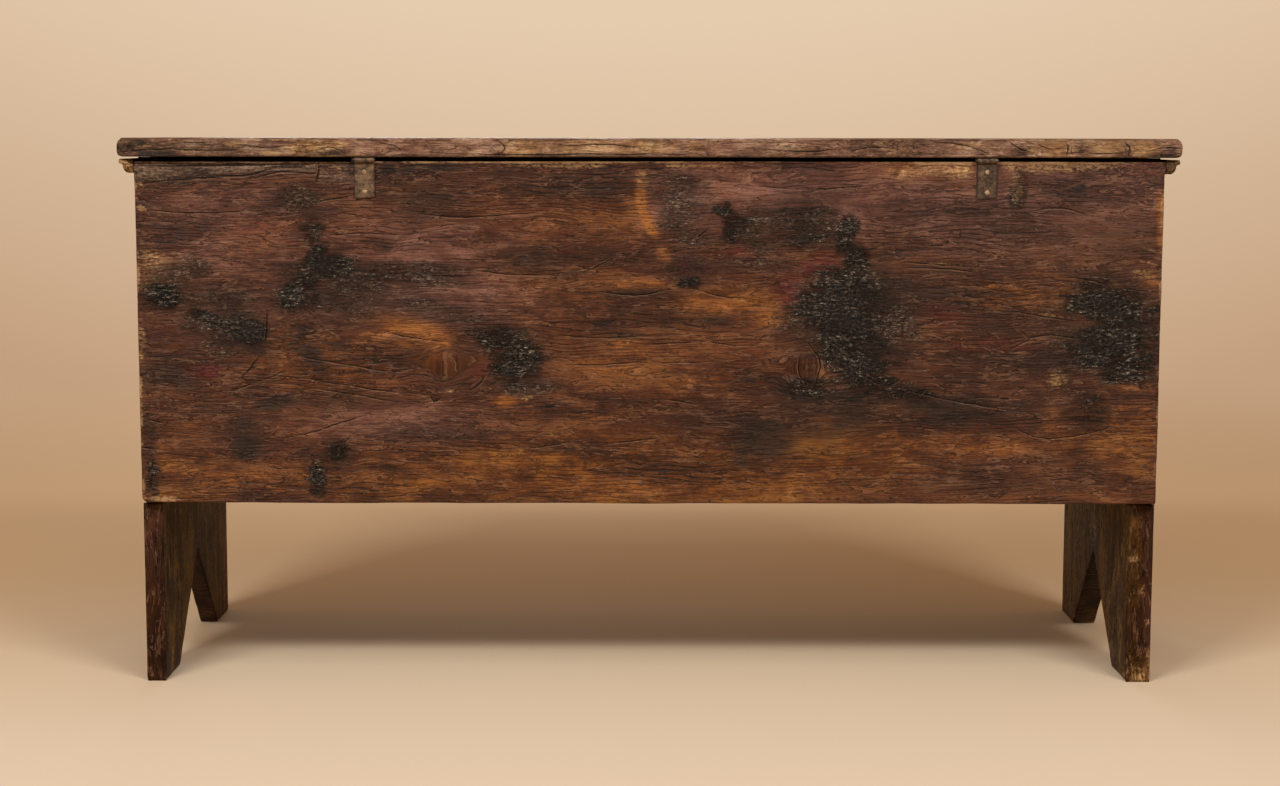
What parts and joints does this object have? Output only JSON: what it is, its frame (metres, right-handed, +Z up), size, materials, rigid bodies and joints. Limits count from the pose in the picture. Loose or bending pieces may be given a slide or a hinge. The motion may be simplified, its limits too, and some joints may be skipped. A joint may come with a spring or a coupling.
{
  "type": "boarded storage chest",
  "caption": "Boarded plank storage chest with notched end boards as legs, a moulding under the eaves and a hinged single-plank lid.",
  "frame": {"origin": "on the floor, under the middle of the lid", "axes": "+Z up, +X along the chest's length, +Y towards its hinged back"},
  "size_m": [1.212, 0.448, 0.6328],
  "materials": {
    "lid_wood": "old waxed oak, worn edges",
    "board_wood": "dark old waxed oak",
    "bottom_wood": "dry unwaxed oak",
    "moulding_wood": "dark old waxed oak",
    "hinge_iron": "wrought iron, brown patina",
    "nail_iron": "wrought iron, brown patina"
  },
  "bodies": {
    "case": {"back_board": "board_wood", "front_board": "board_wood", "right_end_board": "board_wood", "left_end_board": "board_wood", "bottom_board": "bottom_wood", "front_moulding": "moulding_wood", "right_moulding": "moulding_wood", "left_moulding": "moulding_wood", "right_hinge_case_leaf": "hinge_iron", "left_hinge_case_leaf": "hinge_iron", "right_hinge_pin": "hinge_iron", "left_hinge_pin": "hinge_iron", "back_board_nails": "nail_iron", "front_board_nails": "nail_iron", "moulding_nails": "nail_iron", "hinge_case_nails": "nail_iron"},
    "lid": {"lid_board": "lid_wood", "right_hinge_lid_leaf": "hinge_iron", "left_hinge_lid_leaf": "hinge_iron", "hinge_lid_nails": "nail_iron"}
  },
  "joints": [
    {"name": "lid_hinge", "type": "hinge", "parent": "case", "child": "lid", "pos_m": [0, 0.22005, 0.60745], "axis": [-1, 0, 0], "range_deg": [0, 105]}
  ]
}
